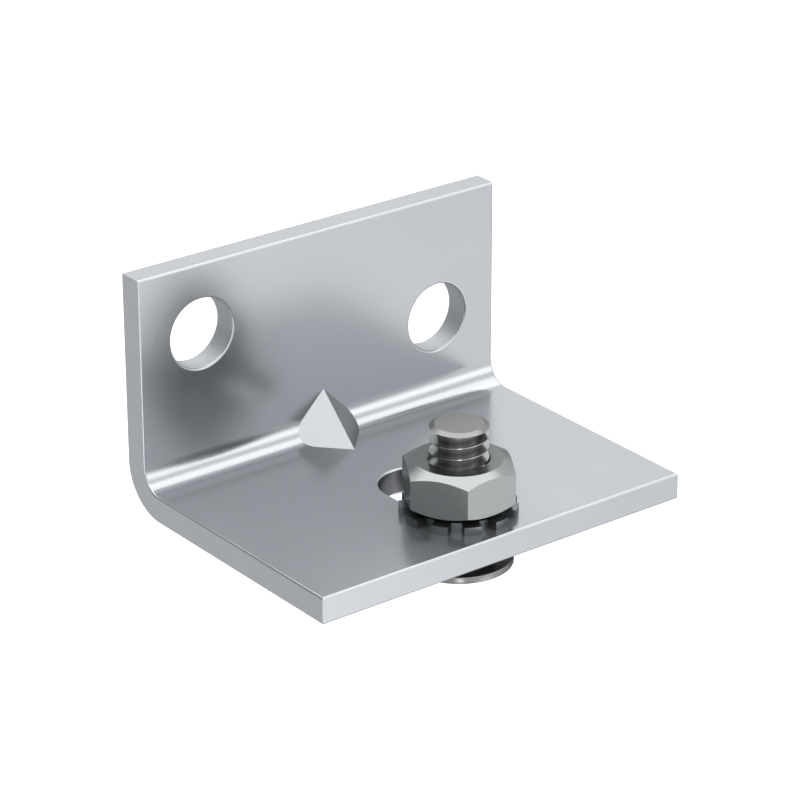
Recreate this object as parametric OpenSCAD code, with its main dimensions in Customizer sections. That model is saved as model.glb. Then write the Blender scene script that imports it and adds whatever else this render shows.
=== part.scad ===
// Angle bracket folded from thick steel strip, with a fixing set in the slot of its plate.
// The wall leg is screwed to a wall; the bolt head under the plate clamps a rail lip.
// The origin lies on the wall face, midway between the two wall holes.
// +X runs along the fold, +Y into the wall, +Z up.

/* [Sheet] */
// Thickness of the strip
sheet_t = 3.8; // [3:0.1:5]
// Length of the bracket along its fold
width = 60; // [50:1:90]
// Height of the wall leg, from the plate's underside to the top edge
wall_h = 34; // [32:1:60]
// Depth of the plate, from the wall face to the front edge
plate_d = 44; // [42:1:70]
// Inner radius of the fold
bend_r = 3.2; // [2:0.1:5]
// Radius that softens every outer edge and every hole rim
edge_r = 0.3; // [0.2:0.1:0.8]

/* [Wall holes] */
// Diameter of the two wall holes
wall_hole_d = 10; // [8:0.5:11]
// Distance between the two wall holes, along the fold
wall_hole_pitch = 40; // [30:1:44]
// Height of the left hole above the plate's underside
left_hole_up = 24; // [18:0.5:26]
// Height of the right hole above the plate's underside
right_hole_up = 16; // [14:0.5:26]

/* [Corner gusset] */
// Height of the gusset's upper tip above the plate's top
gusset_up = 6.7; // [4:0.1:8]
// Reach of the gusset's lower tip from the front of the wall leg
gusset_out = 7.1; // [4:0.1:8]
// Angle between each flank and the middle plane of the gusset
gusset_flank = 53.8; // [45:0.1:65]
// Metal left between the gusset's ridge and the groove behind it
gusset_skin = 3.8; // [3:0.1:5]

/* [Slot] */
// Width of the slot
slot_w = 10; // [9:0.5:12]
// Length of the slot, end to end
slot_len = 20; // [16:1:22]
// Distance from the wall face to the slot's rear end
slot_rear = 19.5; // [18:0.5:21]

/* [Rail bolt] */
// Thread's outer diameter
bolt_d = 8; // [6:0.5:8]
// Pitch of the thread
pitch = 1.6; // [1:0.05:1.75]
// Distance from the wall face to the bolt's axis
bolt_out = 34.5; // [32:0.5:34.5]
// Sideways place of the bolt in the slot, off the slot's middle line
bolt_side = -0.5; // [-0.7:0.1:0.7]
// Gap between the plate's underside and the bolt's head, where the rail lip goes
rail_gap = 2.5; // [1:0.5:5]
// Length of the bolt, without its head
bolt_len = 19; // [18:0.5:30]
// Length of the thread, from the bolt's end
thread_len = 16.5; // [12:0.5:17]
// Width of the chamfer on the bolt's end, on the radius
chamfer_w = 0.7; // [0.3:0.05:1]
// Height of the chamfer on the bolt's end
chamfer_h = 0.4; // [0.2:0.05:0.8]
// Diameter of the head
head_d = 14.9; // [12:0.1:18]
// Height of the head's upright rim
head_rim = 1; // [0.6:0.1:3]
// Height of the low dome under the rim
head_dome = 1.1; // [0.5:0.1:1.5]

/* [Toothed washer] */
// Thickness of the washer
washer_t = 1.2; // [0.6:0.1:1.5]
// Diameter over the teeth
washer_d = 16; // [14:0.1:18]
// Diameter at the foot of the teeth
washer_root_d = 13; // [12:0.1:13.5]
// Number of teeth
teeth = 11; // [8:1:14]
// Width of a tooth
tooth_w = 2.35; // [1.5:0.05:2.5]
// Clearance of the washer round the thread, on the radius
washer_play = 0.2; // [0.1:0.05:0.4]

/* [Hex nut] */
// Width across the flats
nut_af = 14; // [13:0.5:17]
// Height of the nut
nut_h = 6.5; // [5:0.1:8]
// Diameter of the flat ring on both ends
nut_face_d = 12; // [11:0.1:12.8]
// Slope of the chamfers on both ends
nut_slope = 30; // [15:1:35]
// Running clearance of the nut round the thread, on the radius
nut_play = 0.05; // [0.02:0.01:0.09]
// Depth of the countersinks in the nut's bore
nut_sink = 0.2; // [0.1:0.05:0.8]

/* [Hidden] */

$fn = 96;
// Overlap that keeps cuts and unions clean
eps = 0.5;

under_z = -(left_hole_up + right_hole_up) / 2;
plate_z = under_z + sheet_t;
outer_r = bend_r + sheet_t;

slot_r = slot_w / 2;
slot_back_y = -slot_rear - slot_r;
slot_front_y = -slot_rear - slot_len + slot_r;

head_z = under_z - rail_gap;
bolt_end_z = head_z + bolt_len;
bolt_r = bolt_d / 2;
washer_top_z = plate_z + washer_t;

// Basic form of a 60 degree thread: depth and the flats on crest and root
thread_depth = 0.613 * pitch;
// The thread stays this much under the shank's radius
thread_shy = 0.03;
crest_r = bolt_r - thread_shy;
root_r = crest_r - thread_depth;
crest_flat = 0.125;
flank_run = thread_depth * tan(30) / pitch;
// Flat facets round one turn of the thread
thread_sides = 36;
// Height of a crest above the thread's start, on the side towards -Y
crest_up = 0.3;

steel = "silver";
zinc = "darkgray";
dark_steel = "dimgray";

// Rectangle with round corners, centred along x, from y = 0 down to y = -h
module rounded_strip(w, h, r) {
    translate([-w / 2, -h + r]) square([w, h - 2 * r]);
    translate([-w / 2 + r, -h]) square([w - 2 * r, h]);
    for (x = [-w / 2 + r, w / 2 - r], y = [-r, r - h])
        translate([x, y]) circle(r);
}

// One straight leg of the strip, standing on z = 0, with its far end rounded
module leg(h) {
    intersection() {
        linear_extrude(h) rounded_strip(width, sheet_t, edge_r);
        translate([-width / 2 - eps, 0, 0])
            rotate([90, 0, 90])
                linear_extrude(width + 2 * eps) {
                    translate([-sheet_t, 0]) square([sheet_t, h - edge_r]);
                    translate([edge_r - sheet_t, 0]) square([sheet_t - 2 * edge_r, h]);
                    for (y = [-edge_r, edge_r - sheet_t])
                        translate([y, h - edge_r]) circle(edge_r);
                }
    }
}

// The quarter turn that joins the two legs
module fold() {
    translate([0, -outer_r, under_z + outer_r])
        rotate([0, 90, 0])
            rotate_extrude(angle = 90)
                rotate(90)
                    translate([0, -bend_r])
                        rounded_strip(width, sheet_t, edge_r);
}

// Half profile of a hole with rounded rims, through the sheet from y = 0 to y = sheet_t
module rim_profile(r) {
    difference() {
        translate([0, -eps]) square([r + edge_r, sheet_t + 2 * eps]);
        translate([r, edge_r]) square([2 * edge_r, sheet_t - 2 * edge_r]);
        for (y = [edge_r, sheet_t - edge_r])
            translate([r + edge_r, y]) circle(edge_r);
    }
}

// Cutter for a round hole, standing on z = 0
module hole_cutter(r) {
    rotate_extrude() rim_profile(r);
}

// Cutter for the slot, standing on z = 0, from y = 0 to y = run
module slot_cutter(r, run) {
    for (far = [0, 1])
        translate([0, far * run, 0])
            mirror([0, 1 - far, 0])
                rotate_extrude(angle = 180) rim_profile(r);
    translate([0, run, 0])
        rotate([90, 0, 0])
            linear_extrude(run) {
                rim_profile(r);
                mirror([1, 0]) rim_profile(r);
            }
}

// Wedge whose edge follows the gusset's ridge, set back from it by back
module wedge(back, depth) {
    lean = atan2(gusset_out, gusset_up);
    reach = norm([gusset_out, gusset_up]) + 2 * outer_r;
    translate([0, -sheet_t - gusset_out, plate_z])
        rotate([-lean, 0, 0])
            translate([0, back, -outer_r])
                linear_extrude(reach)
                    polygon([
                        [0, 0],
                        [depth * tan(gusset_flank), depth],
                        [-depth * tan(gusset_flank), depth]
                    ]);
}

// The gusset pressed into the inner corner, ending inside the sheet
module gusset() {
    bite = sheet_t / 4;
    intersection() {
        wedge(0, 2 * outer_r);
        translate([-width / 2, -plate_d / 2, plate_z - bite])
            cube([width, plate_d / 2 - sheet_t + bite, wall_h / 2]);
    }
}

module bracket() {
    color(steel)
        difference() {
            union() {
                translate([0, 0, under_z + outer_r]) leg(wall_h - outer_r);
                translate([0, -outer_r, under_z])
                    rotate([90, 0, 0]) mirror([0, 1, 0]) leg(plate_d - outer_r);
                fold();
                gusset();
            }
            wedge(gusset_skin, 2 * outer_r);
            for (hole = [[-1, left_hole_up], [1, right_hole_up]])
                translate([hole[0] * wall_hole_pitch / 2, 0, under_z + hole[1]])
                    rotate([90, 0, 0]) hole_cutter(wall_hole_d / 2);
            translate([0, slot_front_y, under_z])
                slot_cutter(slot_r, slot_back_y - slot_front_y);
        }
}

// Radius of the thread at a place u in its pitch, from one crest's middle to the next
function thread_r(u) =
    let (v = abs(u - round(u)), foot = crest_flat / 2 + flank_run)
    v <= crest_flat / 2 ? crest_r
    : v >= foot ? root_r
    : crest_r - thread_depth * (v - crest_flat / 2) / flank_run;

// Corners of the thread's profile within one pitch
thread_corners = [
    -crest_flat / 2 - flank_run, -crest_flat / 2, crest_flat / 2, crest_flat / 2 + flank_run
];

// Height z kept between the flat ends of a rod, and drawn onto an end that is very near
function held(z, rod_len) =
    let (near = pitch / 16)
    z < near ? 0 : z > rod_len - near ? rod_len : z;

// Threaded rod from z = 0 to z = rod_len: a right-hand helix with flat ends
module threaded_rod(rod_len, crest) {
    turns = ceil(rod_len / pitch) + 1;
    heights = [for (k = [-2:turns]) for (c = thread_corners) (k + c) * pitch + crest];
    rows = len(heights);
    points = [
        for (i = [0:thread_sides - 1])
            let (a = i * 360 / thread_sides, lift = pitch * i / thread_sides)
            for (h = heights)
                let (z = held(h + lift, rod_len), r = thread_r((z - lift - crest) / pitch))
                [r * sin(a), -r * cos(a), z]
    ];
    // The last column meets the first one turn higher up
    function beside(i, j) =
        i < thread_sides - 1 ? (i + 1) * rows + j
        : min(j + len(thread_corners), rows - 1);
    sides = [
        for (i = [0:thread_sides - 1], j = [0:rows - 2])
            [i * rows + j, i * rows + j + 1, beside(i, j + 1), beside(i, j)]
    ];
    floor_face = [[for (i = [0:thread_sides - 1]) i * rows]];
    roof_face = [[for (i = [thread_sides - 1:-1:0]) i * rows + rows - 1]];
    polyhedron(points, concat(sides, floor_face, roof_face), convexity = 10);
}

module rail_bolt() {
    thread_z = bolt_end_z - thread_len;
    chamfer_z = bolt_end_z - chamfer_h;
    dome_r = (pow(head_d / 2, 2) + pow(head_dome, 2)) / (2 * head_dome);
    color(zinc)
        translate([bolt_side, -bolt_out, 0]) {
            translate([0, 0, thread_z])
                threaded_rod(chamfer_z - thread_z, crest_up);
            translate([0, 0, chamfer_z])
                cylinder(h = chamfer_h, r1 = bolt_r, r2 = bolt_r - chamfer_w);
            translate([0, 0, head_z - head_rim])
                cylinder(h = head_rim, d = head_d);
            translate([0, 0, head_z])
                cylinder(h = thread_z - head_z, r = bolt_r);
            intersection() {
                translate([0, 0, head_z - head_rim - head_dome + dome_r]) sphere(dome_r);
                translate([0, 0, head_z - head_rim - 2 * head_dome])
                    cylinder(h = 2 * head_dome, d = 2 * head_d);
            }
        }
}

module toothed_washer() {
    color(dark_steel)
        translate([bolt_side, -bolt_out, plate_z])
            difference() {
                union() {
                    cylinder(h = washer_t, d = washer_root_d);
                    intersection() {
                        cylinder(h = washer_t, d = washer_d);
                        for (i = [0:teeth - 1])
                            rotate(180 + i * 360 / teeth)
                                translate([0, -tooth_w / 2, 0])
                                    cube([washer_d, tooth_w, washer_t]);
                    }
                }
                translate([0, 0, -eps])
                    cylinder(h = washer_t + 2 * eps, r = bolt_r + washer_play);
            }
}

module hex_nut() {
    corner_r = nut_af / 2 / cos(30);
    slope_r = corner_r + eps;
    slope_h = (slope_r - nut_face_d / 2) * tan(nut_slope);
    bore_r = bolt_r + nut_play;
    color(zinc)
        translate([bolt_side, -bolt_out, washer_top_z])
            difference() {
                intersection() {
                    cylinder(h = nut_h, r = corner_r, $fn = 6);
                    rotate_extrude()
                        polygon([
                            [0, 0],
                            [nut_face_d / 2, 0],
                            [slope_r, slope_h],
                            [slope_r, nut_h - slope_h],
                            [nut_face_d / 2, nut_h],
                            [0, nut_h]
                        ]);
                }
                rotate_extrude()
                    polygon([
                        [0, -eps],
                        [bore_r + nut_sink + eps, -eps],
                        [bore_r, nut_sink],
                        [bore_r, nut_h - nut_sink],
                        [bore_r + nut_sink + eps, nut_h + eps],
                        [0, nut_h + eps]
                    ]);
            }
}

bracket();
rail_bolt();
toothed_washer();
hex_nut();
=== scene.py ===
import math

import bmesh
import bpy
from mathutils import Matrix, Vector


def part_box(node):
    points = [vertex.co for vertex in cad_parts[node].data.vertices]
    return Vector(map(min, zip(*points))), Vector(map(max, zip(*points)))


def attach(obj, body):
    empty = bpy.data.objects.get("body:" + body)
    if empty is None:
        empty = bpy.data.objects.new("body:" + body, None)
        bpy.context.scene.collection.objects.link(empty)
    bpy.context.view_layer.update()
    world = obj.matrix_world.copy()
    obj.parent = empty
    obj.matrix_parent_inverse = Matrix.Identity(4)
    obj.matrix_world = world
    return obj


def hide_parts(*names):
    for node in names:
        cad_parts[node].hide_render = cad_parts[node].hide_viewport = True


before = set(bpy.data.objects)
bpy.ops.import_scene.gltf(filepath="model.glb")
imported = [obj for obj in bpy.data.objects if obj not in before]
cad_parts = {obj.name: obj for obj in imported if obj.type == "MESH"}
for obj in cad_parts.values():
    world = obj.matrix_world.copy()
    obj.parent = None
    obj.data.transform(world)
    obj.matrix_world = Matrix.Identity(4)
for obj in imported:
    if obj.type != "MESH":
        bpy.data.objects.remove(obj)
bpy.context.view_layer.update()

# Camera, solved from the bracket's straight edges and wall holes
CAMERA_AT = Vector((-0.26009, -0.35868, 0.18623))
CAMERA_FORWARD = Vector((0.55683, 0.72261, -0.40961))
CAMERA_RIGHT = Vector((0.79166, -0.61096, -0.00162))
CAMERA_LENS = 156.53
CAMERA_CLIP_START = 0.01

# Floor: its height from the origin and its side in metres, its colour, and its light to the camera
FLOOR_Z = -0.12
FLOOR_SIZE = 8.0
FLOOR_COLOUR = (0.55, 0.55, 0.55, 1)
FLOOR_GLOW = 0.7

# Shades of the studio as the metal mirrors it: a base level, and soft round patches.
# A patch has a direction, the angles where it is full and where it ends, and what it adds.
STUDIO_BASE = 0.60
STUDIO_PATCHES = {
    "front_dome": ((0.35, -0.92, 0.15), 35, 62, 0.32),
    "front_box": ((0.54, -0.79, 0.30), 5, 17, 0.9),
    "overhead": ((0.04, 0.04, 1), 38, 46, 1.1),
    "key_left": ((-0.52, -0.47, 0.71), 12, 24, 0.55),
    "streak_left": ((-0.52, -0.75, -0.42), 3, 8, 3.6),
    "streak_left_middle": ((-0.64, -0.77, -0.1), 4, 12, 0.9),
    "streak_left_high": ((-0.64, -0.77, 0.25), 4, 12, 0.9),
    "pale_front": ((0.30, -0.75, -0.59), 6, 20, 0.75),
    "pale_back": ((0.50, 0.70, 0.55), 25, 45, 0.34),
    "dark_right": ((0.96, 0.28, 0.0), 12, 34, -0.2),
    "dark_low_back": ((0.75, 0.50, -0.42), 22, 45, -0.3),
    "dark_left_back": ((-0.75, 0.52, 0.41), 18, 38, -0.42),
}
# Share of the studio's light that is left each time one piece of metal mirrors another, and
# the depth of a ray that comes straight from its first mirror
SECOND_MIRROR = 0.5
FIRST_MIRROR_DEPTH = 2.0

# Finish of the steel. Scales are in features per metre, the bump depth is in metres.
CLOUD_SCALE = 90
CLOUD_RANGE = (0.3, 0.7)
CLOUD_TINT = 0.04
CLOUD_ROUGHNESS = 0.02
GRAIN_SCALE = 2600
GRAIN_ROUGHNESS = 0.015
STREAK_SCALES = (40, 1500, 1500)
BUMP_DEPTH = 2e-6
# Upward share of a face's direction, from where it starts to count as a flat top to where it does;
# flat tops can get a painted shade in their colour
FLAT_TOP = (0.93, 0.97)
# Cut walls of the slot and of the wall holes: corners of a box round them, the painted shade that
# darkens the walls' colour as shade in the recess (1 leaves it), and roughness
CUTS = (
    ((-0.0053, -0.041, -0.0197), (0.0053, -0.019, -0.0165), 0.3, 0.3),
    ((-0.0255, -0.0035, -0.0095), (0.0255, -0.0003, 0.0095), 1.0, 0.6),
)

# Rail bolt, in metres: its thread is drawn here with thin, sharp ridges as in the photograph
SHANK_R = 0.004
# Core radius just under a ridge, and at the foot of the next one down: a slight undercut
CORE_R = 0.00302
CORE_LOW_R = 0.00282
PITCH = 0.0016
RIDGE_SLOPE = math.radians(8)
RIDGE_TIP = 0.0001
# Height of a ridge above the thread's start, on the side towards -Y
RIDGE_START = 0.0003
# The last ridge sinks into the core below the chamfer, from the first gap to the second
RIDGE_END = (0.00085, 0.00045)
THREAD_LEN = 0.0165
CHAMFER_W = 0.0007
CHAMFER_H = 0.0004
# Head: height of its rim and of the dome below, and where the rim's lower rounding starts
HEAD_RIM = 0.001
HEAD_DOME = 0.0011
HEAD_EDGE_START = -60
EDGE = 0.0001
# Steps of the turned shapes, and the angle from which an edge is drawn sharp
SIDES = 144
DOME_STEPS = 16
EDGE_STEPS = 4
SHARP_ANGLE = math.radians(25)
# Painted light and shade on the thread's colour: factors for its core, painted darker as shade in
# the groove, and for its ridges, painted lighter as light on them, and the radii between which one
# turns to the other
CORE_PAINTED_SHADE = 1.15
RIDGE_PAINTED_LIGHT = 1.65
ROOT_RADII = (0.00305, 0.0034)
THREAD_ROUGHNESS = 0.2

# Points closer than this are one point
SAME_PLACE = 1e-7


def make_camera():
    """A camera that sees the part as the photograph does."""
    data = bpy.data.cameras.new("camera")
    data.lens = CAMERA_LENS
    data.clip_start = CAMERA_CLIP_START
    camera = bpy.data.objects.new("camera", data)
    forward = CAMERA_FORWARD.normalized()
    right = (CAMERA_RIGHT - CAMERA_RIGHT.dot(forward) * forward).normalized()
    up = right.cross(forward)
    turn = Matrix((right, up, -forward)).transposed().to_4x4()
    camera.matrix_world = Matrix.Translation(CAMERA_AT) @ turn
    bpy.context.collection.objects.link(camera)
    bpy.context.scene.camera = camera


class Graph:
    """Short calls for building a node tree."""

    def __init__(self, tree):
        self.tree = tree
        tree.nodes.clear()

    def add(self, kind, inputs=None, **settings):
        """A node of that kind. inputs gives values or sockets by input name or number."""
        node = self.tree.nodes.new(kind)
        for name, value in settings.items():
            setattr(node, name, value)
        for name, value in (inputs or {}).items():
            if isinstance(value, bpy.types.NodeSocket):
                self.tree.links.new(value, node.inputs[name])
            else:
                node.inputs[name].default_value = value
        return node

    def number(self, operation, first, second):
        """The result of an operation on two numbers."""
        node = self.add("ShaderNodeMath", {0: first, 1: second}, operation=operation)
        return node.outputs["Value"]

    def vector(self, operation, first, second):
        """The node of an operation on two vectors."""
        return self.add("ShaderNodeVectorMath", {0: first, 1: second}, operation=operation)

    def mix(self, factor, first, second):
        """first where factor is 0, second where it is 1."""
        inputs = {"Factor": factor, "A": first, "B": second}
        return self.add("ShaderNodeMix", inputs).outputs["Result"]

    def noise(self, place, scale, detail, roughness=0.5):
        """Noise between 0 and 1, with features of about 1 / scale metres."""
        inputs = {"Vector": place, "Scale": scale, "Detail": detail, "Roughness": roughness}
        return self.add("ShaderNodeTexNoise", inputs).outputs["Fac"]

    def spread(self, value, low, high, start=0.0, end=1.0):
        """value from start..end, spread over low..high."""
        inputs = {"Value": value, "From Min": start, "From Max": end, "To Min": low, "To Max": high}
        return self.add("ShaderNodeMapRange", inputs).outputs["Result"]


def within(graph, place, low, high):
    """1 inside the box from low to high, 0 outside."""
    near = graph.vector("MAXIMUM", place, low).outputs["Vector"]
    near = graph.vector("MINIMUM", near, high).outputs["Vector"]
    gap = graph.vector("DISTANCE", near, place).outputs["Value"]
    return graph.number("LESS_THAN", gap, SAME_PLACE)


def thread_painted_light_and_shade(graph, place):
    """Painted light and shade by distance from the axis: a darker core as shade in the groove,
    lighter ridges as light on them.
    """
    flat = graph.vector("MULTIPLY", place, (1, 1, 0)).outputs["Vector"]
    radius = graph.add("ShaderNodeVectorMath", {0: flat}, operation="LENGTH").outputs["Value"]
    return graph.spread(radius, CORE_PAINTED_SHADE, RIDGE_PAINTED_LIGHT, *ROOT_RADII)


def paint_shade_and_light(graph, tone, inside, shade):
    """tone, times shade where inside is 1: a painted shade below 1, a painted light above 1."""
    factor = graph.mix(inside, 1.0, shade)
    scaled = graph.add("ShaderNodeVectorMath", {0: tone, "Scale": factor}, operation="SCALE")
    return scaled.outputs["Vector"]


def steel(name, colour, roughness, grain, streak=0.0, metallic=0.93, top=1.0, cuts=(), thread=None):
    """Bare or plated steel with a faint cloudy finish and a fine grain.

    streak is the strength of rolling streaks along X, and top the painted shade on flat tops, a
    factor that darkens their colour as less light on them would.
    cuts holds boxes, with the painted shade of the walls inside, a factor that darkens their colour
    as shade in a recess would, and their roughness.
    thread is the box round a thread, in the object's own frame, where the colour gets painted shade
    at the core and a painted highlight on the ridges.
    """
    material = bpy.data.materials.new(name)
    material.use_nodes = True
    graph = Graph(material.node_tree)
    coordinates = graph.add("ShaderNodeTexCoord").outputs
    place = coordinates["Object"]
    clouds = graph.noise(place, CLOUD_SCALE, detail=3)
    fine = graph.noise(place, GRAIN_SCALE, detail=2, roughness=0.6)

    cloudy = graph.add("ShaderNodeMix", {"Factor": clouds}, data_type="RGBA")
    for end, share in (("A", 1 - CLOUD_TINT), ("B", 1 + CLOUD_TINT)):
        cloudy.inputs[end].default_value = [c * share for c in colour] + [1]
    tone = cloudy.outputs["Result"]

    low, high = roughness - CLOUD_ROUGHNESS, roughness + CLOUD_ROUGHNESS
    soft = graph.spread(clouds, low, high, *CLOUD_RANGE)
    rough = graph.number("ADD", soft, graph.spread(fine, -GRAIN_ROUGHNESS, GRAIN_ROUGHNESS))

    inputs = {"Height": fine, "Strength": grain, "Distance": BUMP_DEPTH}
    bump = graph.add("ShaderNodeBump", inputs)
    if streak:
        along = graph.add("ShaderNodeMapping", {"Vector": place, "Scale": STREAK_SCALES})
        streaks = graph.noise(along.outputs["Vector"], 1, detail=3, roughness=0.7)
        inputs = {"Height": streaks, "Strength": streak, "Distance": BUMP_DEPTH}
        inputs["Normal"] = bump.outputs["Normal"]
        bump = graph.add("ShaderNodeBump", inputs)

    # Painted shade: flat tops get a darker colour, as less light on them would give
    if top < 1:
        upward = graph.add("ShaderNodeSeparateXYZ", {"Vector": coordinates["Normal"]}).outputs["Z"]
        tone = paint_shade_and_light(graph, tone, graph.spread(upward, 0.0, 1.0, *FLAT_TOP), top)
    # Painted shade: the colour of each cut wall is darkened as shade in its recess would darken it
    for low, high, cut_painted_shade, cut_roughness in cuts:
        inside = within(graph, place, low, high)
        tone = paint_shade_and_light(graph, tone, inside, cut_painted_shade)
        rough = graph.mix(inside, rough, cut_roughness)
    # Painted light and shade: the thread's colour is darker at the core and lighter on the ridges
    if thread:
        inside = within(graph, place, *thread)
        tone = paint_shade_and_light(graph, tone, inside, thread_painted_light_and_shade(graph, place))
        rough = graph.mix(inside, rough, THREAD_ROUGHNESS)
    shader = graph.add("ShaderNodeBsdfPrincipled", {
        "Base Color": tone,
        "Roughness": rough,
        "Normal": bump.outputs["Normal"],
        "Metallic": metallic,
    })
    graph.add("ShaderNodeOutputMaterial", {"Surface": shader.outputs["BSDF"]})
    return material


def dress(node, material):
    """Gives a CAD node its material."""
    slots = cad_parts[node].data.materials
    slots.clear()
    slots.append(material)


def arc(centre, radius, start, end, steps):
    """Points (r, z) on an arc, angles in degrees from +r towards +z."""
    turns = [math.radians(start + (end - start) * i / steps) for i in range(steps + 1)]
    return [(centre[0] + radius * math.cos(t), centre[1] + radius * math.sin(t)) for t in turns]


def turned(r, turn, z):
    """The point at radius r and height z, turned from the side towards -Y."""
    return r * math.sin(turn), -r * math.cos(turn), z


def revolve(mesh, profile):
    """Adds a solid turned round Z. The profile runs from the axis and back to it."""
    rings = []
    for r, z in profile:
        if r < SAME_PLACE:
            rings.append([mesh.verts.new((0, 0, z))] * SIDES)
            continue
        turns = [2 * math.pi * i / SIDES for i in range(SIDES)]
        rings.append([mesh.verts.new(turned(r, turn, z)) for turn in turns])
    for low, high in zip(rings, rings[1:]):
        for i in range(SIDES):
            j = (i + 1) % SIDES
            corners = dict.fromkeys((low[i], low[j], high[j], high[i]))
            mesh.faces.new(corners)


def ridge_height(z, top):
    """Share of its full depth that a ridge has at height z below the chamfer at top."""
    start, end = RIDGE_END
    share = (top - z - end) / (start - end)
    return min(max(share, 0), 1)


def add_thread(mesh, low, top):
    """Adds a right-hand thread from z = low to z = top, open where other solids cover it."""
    depth = SHANK_R - CORE_R
    tip = RIDGE_TIP / 2
    foot = tip + depth * math.tan(RIDGE_SLOPE)
    corners = [(-foot, CORE_R), (-tip, SHANK_R), (tip, SHANK_R), (foot, CORE_LOW_R)]
    rounds = math.ceil((top - low) / PITCH)
    rows = [(k, at, r) for k in range(-1, rounds + 1) for at, r in corners]
    columns = []
    for i in range(SIDES + 1):
        share = i / SIDES
        turn = 2 * math.pi * share
        column = []
        for k, at, r in rows:
            ridge = low + RIDGE_START + (k + share) * PITCH
            if r == SHANK_R:
                r = CORE_R + depth * ridge_height(ridge, top)
            z = min(max(ridge + at, low), top)
            column.append(mesh.verts.new(turned(r, turn, z)))
        columns.append(column)
    for left, right in zip(columns, columns[1:]):
        for j in range(len(rows) - 1):
            mesh.faces.new((left[j], right[j], right[j + 1], left[j + 1]))


def head_profile(low_z, head_r):
    """Profile of the bolt's head, from the lowest point of its dome to its upper rim."""
    rim_z = low_z + HEAD_DOME
    dome_r = (head_r ** 2 + HEAD_DOME ** 2) / (2 * HEAD_DOME)
    dome_angle = math.degrees(math.asin(head_r / dome_r))
    dome = arc((0, low_z + dome_r), dome_r, -90, dome_angle - 90, DOME_STEPS)[:-1]
    edge_r = head_r - EDGE
    rim = arc((edge_r, rim_z + EDGE), EDGE, HEAD_EDGE_START, 0, EDGE_STEPS)
    rim += arc((edge_r, rim_z + HEAD_RIM - EDGE), EDGE, 0, 90, EDGE_STEPS)
    return dome + rim


def make_bolt(material):
    """The rail bolt with its fine thread, in the place of the plain CAD bolt."""
    low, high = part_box("rail_bolt")
    end_z = high.z
    head_z = low.z + HEAD_DOME + HEAD_RIM
    thread_z = end_z - THREAD_LEN
    chamfer_z = end_z - CHAMFER_H
    mesh = bmesh.new()
    shank = [(SHANK_R, head_z), (SHANK_R, thread_z), (0, thread_z)]
    revolve(mesh, head_profile(low.z, (high.x - low.x) / 2) + shank)
    add_thread(mesh, thread_z, chamfer_z)
    lip = [(0, chamfer_z), (SHANK_R - EDGE / 2, chamfer_z), (SHANK_R, chamfer_z + EDGE / 4)]
    revolve(mesh, lip + [(SHANK_R - CHAMFER_W, end_z), (0, end_z)])
    bmesh.ops.remove_doubles(mesh, verts=mesh.verts, dist=SAME_PLACE)
    bmesh.ops.recalc_face_normals(mesh, faces=mesh.faces)
    data = bpy.data.meshes.new("rail_bolt_threaded")
    mesh.to_mesh(data)
    mesh.free()
    data.polygons.foreach_set("use_smooth", [True] * len(data.polygons))
    data.set_sharp_from_angle(angle=SHARP_ANGLE)
    data.materials.append(material)
    bolt = bpy.data.objects.new("rail_bolt_threaded", data)
    bolt.location = ((low.x + high.x) / 2, (low.y + high.y) / 2, 0)
    bpy.context.collection.objects.link(bolt)
    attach(bolt, "bolt")
    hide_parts("rail_bolt")


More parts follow.
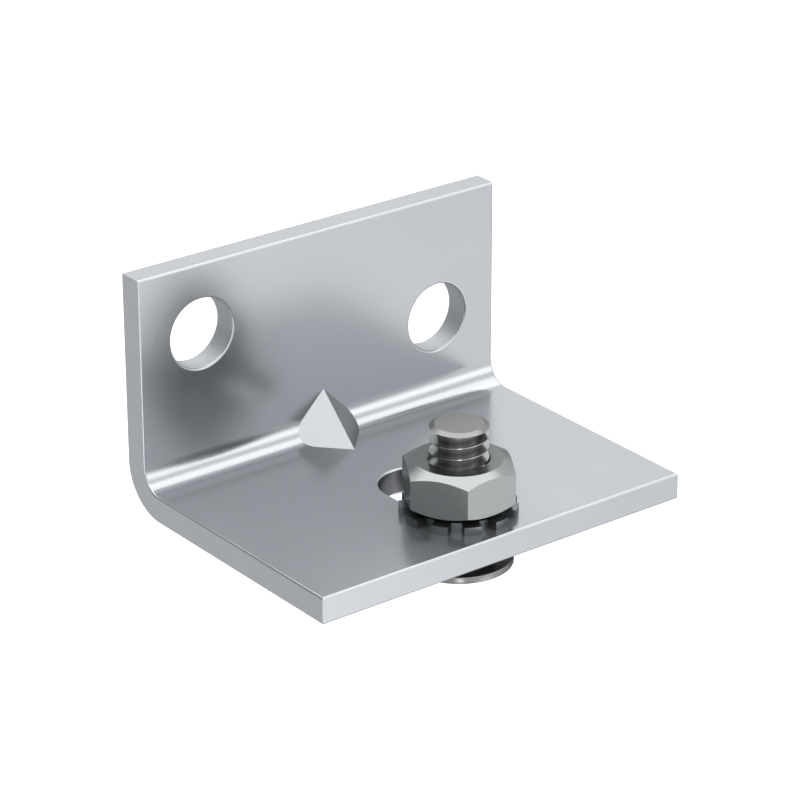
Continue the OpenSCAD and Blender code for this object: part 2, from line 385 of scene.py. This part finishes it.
def make_world():
    """White to the camera. The metal mirrors a pale studio with soft patches."""
    world = bpy.data.worlds.new("studio")
    world.use_nodes = True
    bpy.context.scene.world = world
    graph = Graph(world.node_tree)
    towards = graph.add("ShaderNodeTexCoord").outputs["Generated"]
    level = STUDIO_BASE
    for name, (direction, full, end, more) in STUDIO_PATCHES.items():
        aim = graph.vector("DOT_PRODUCT", towards, Vector(direction).normalized())
        aim.label = name
        patch = graph.add("ShaderNodeMapRange", {
            "Value": aim.outputs["Value"],
            "From Min": math.cos(math.radians(end)),
            "From Max": math.cos(math.radians(full)),
            "To Max": more,
        }, interpolation_type="SMOOTHSTEP")
        level = graph.number("ADD", patch.outputs["Result"], level)
    path = graph.add("ShaderNodeLightPath").outputs
    mirrors = graph.number("SUBTRACT", path["Ray Depth"], FIRST_MIRROR_DEPTH)
    mirrors = graph.number("MAXIMUM", mirrors, 0.0)
    level = graph.number("MULTIPLY", level, graph.number("POWER", SECOND_MIRROR, mirrors))
    strength = graph.mix(path["Is Camera Ray"], level, 1.0)
    light = graph.add("ShaderNodeBackground", {"Color": (1, 1, 1, 1), "Strength": strength})
    graph.add("ShaderNodeOutputWorld", {"Surface": light.outputs["Background"]})


def make_floor():
    """A pale floor well below the part. It looks white, and the metal doesn't mirror it."""
    mesh = bpy.data.meshes.new("floor")
    half = FLOOR_SIZE / 2
    outline = ((-half, -half), (half, -half), (half, half), (-half, half))
    mesh.from_pydata([(x, y, FLOOR_Z) for x, y in outline], [], [(0, 1, 2, 3)])
    floor = bpy.data.objects.new("floor", mesh)
    bpy.context.collection.objects.link(floor)
    floor.visible_glossy = False
    floor.visible_shadow = False
    material = bpy.data.materials.new("floor")
    material.use_nodes = True
    graph = Graph(material.node_tree)
    pale = graph.add("ShaderNodeBsdfDiffuse", {"Color": FLOOR_COLOUR}).outputs["BSDF"]
    seen = graph.add("ShaderNodeLightPath").outputs["Is Camera Ray"]
    glow = graph.number("MULTIPLY", seen, FLOOR_GLOW)
    white = graph.add("ShaderNodeEmission", {"Strength": glow}).outputs["Emission"]
    both = graph.add("ShaderNodeAddShader", {0: pale, 1: white}).outputs["Shader"]
    graph.add("ShaderNodeOutputMaterial", {"Surface": both})
    mesh.materials.append(material)


make_camera()
dress("bracket", steel("plated_steel", colour=(0.578, 0.602, 0.632), roughness=0.21, grain=0.25,
                       streak=0.25, metallic=0.88, cuts=CUTS))
dress("toothed_washer", steel("spring_steel", colour=(0.265, 0.28, 0.285), roughness=0.24,
                              grain=0.1, metallic=0.97))
# The nut's flat top gets a painted shade, its colour darkened to 0.6
dress("hex_nut", steel("nut_steel", colour=(0.40, 0.43, 0.425), roughness=0.24, grain=0.15,
                       top=0.6))
end_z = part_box("rail_bolt")[1].z
thread_box = ((-1, -1, end_z - THREAD_LEN), (1, 1, end_z - CHAMFER_H - EDGE / 4))
make_bolt(steel("bolt_steel", colour=(0.31, 0.315, 0.308), roughness=0.24, grain=0.1,
                thread=thread_box))
make_world()
make_floor()

bpy.context.scene.view_settings.view_transform = "Standard"
